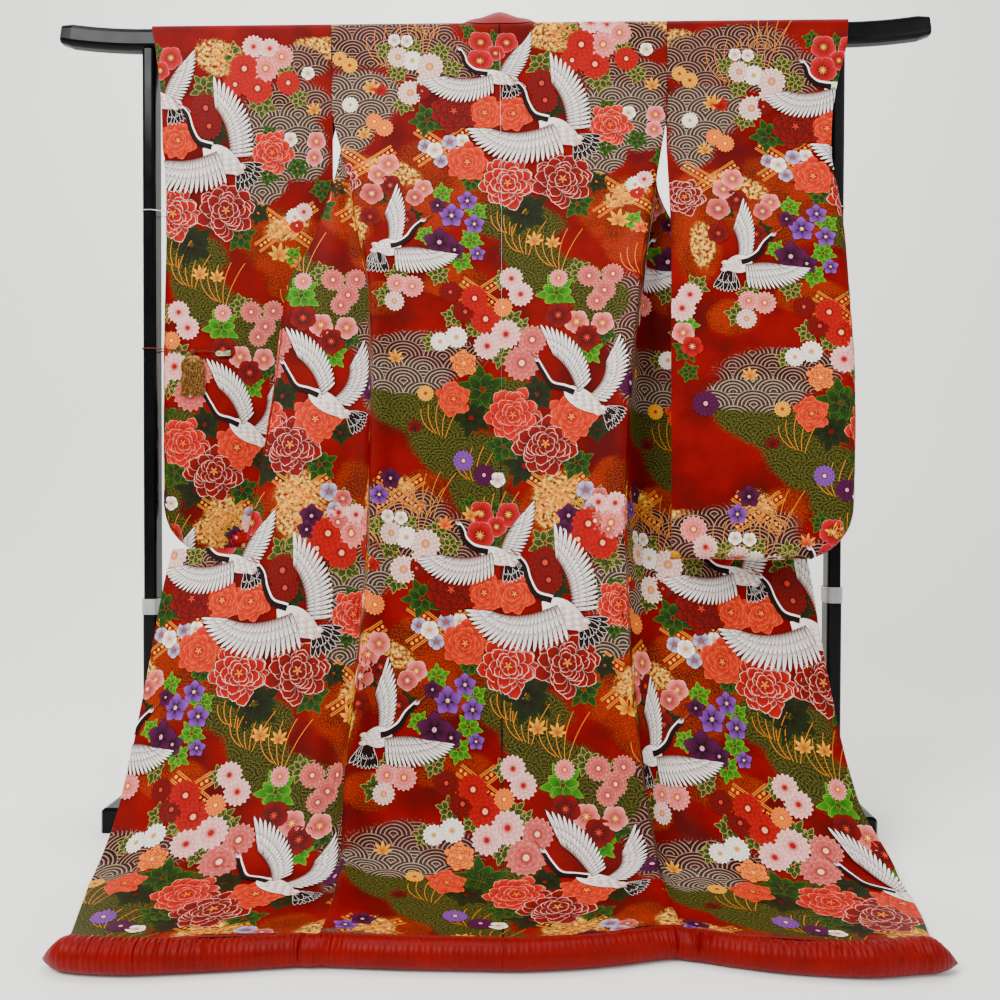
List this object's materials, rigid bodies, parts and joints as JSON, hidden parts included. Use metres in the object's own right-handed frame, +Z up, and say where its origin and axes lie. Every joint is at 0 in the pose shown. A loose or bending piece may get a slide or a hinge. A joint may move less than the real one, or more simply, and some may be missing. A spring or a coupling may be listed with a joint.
{
  "type": "uchikake wedding kimono on a kimono stand",
  "caption": "Brocade uchikake, an unbelted wedding over-kimono with padded hem, hung open over the bar of a lacquered floor stand.",
  "frame": {"origin": "bottom centre of the part's box, on the floor", "axes": "+Z up, +X along the bar, the garment's back faces -Y"},
  "size_m": [1.6608, 0.8378, 1.5278],
  "materials": {
    "brocade": "silk brocade with wadding and lining, matt with gold threads",
    "red_satin": "satin, padded",
    "black_lacquer": "gloss black",
    "clamp_grey": "matt grey",
    "white_thread": "twisted thread",
    "cord_russet": "braided cord",
    "tassel_gold": "silk strands",
    "tassel_pale": "silk strands"
  },
  "bodies": {
    "root": {"back_left": "brocade", "back_right": "brocade", "front_left": "brocade", "front_right": "brocade", "okumi_left": "brocade", "okumi_right": "brocade", "sleeve_left": "brocade", "sleeve_right": "brocade", "collar": "brocade", "fuki_back_left": "red_satin", "fuki_front_left": "red_satin", "fuki_okumi_left": "red_satin", "fuki_back_right": "red_satin", "fuki_front_right": "red_satin", "fuki_okumi_right": "red_satin", "bar": "black_lacquer", "foot_left": "black_lacquer", "foot_right": "black_lacquer", "post_left_lower": "black_lacquer", "post_left_upper": "black_lacquer", "post_right_lower": "black_lacquer", "post_right_upper": "black_lacquer", "stretcher": "black_lacquer", "post_band_left": "clamp_grey", "post_band_right": "clamp_grey", "thread_tie_left": "white_thread", "thread_tie_right": "white_thread", "tie_cord_left": "cord_russet", "tie_cord_end": "cord_russet", "tie_knot": "cord_russet", "tassel_gold": "tassel_gold", "tassel_pale": "tassel_pale"}
  },
  "joints": []
}
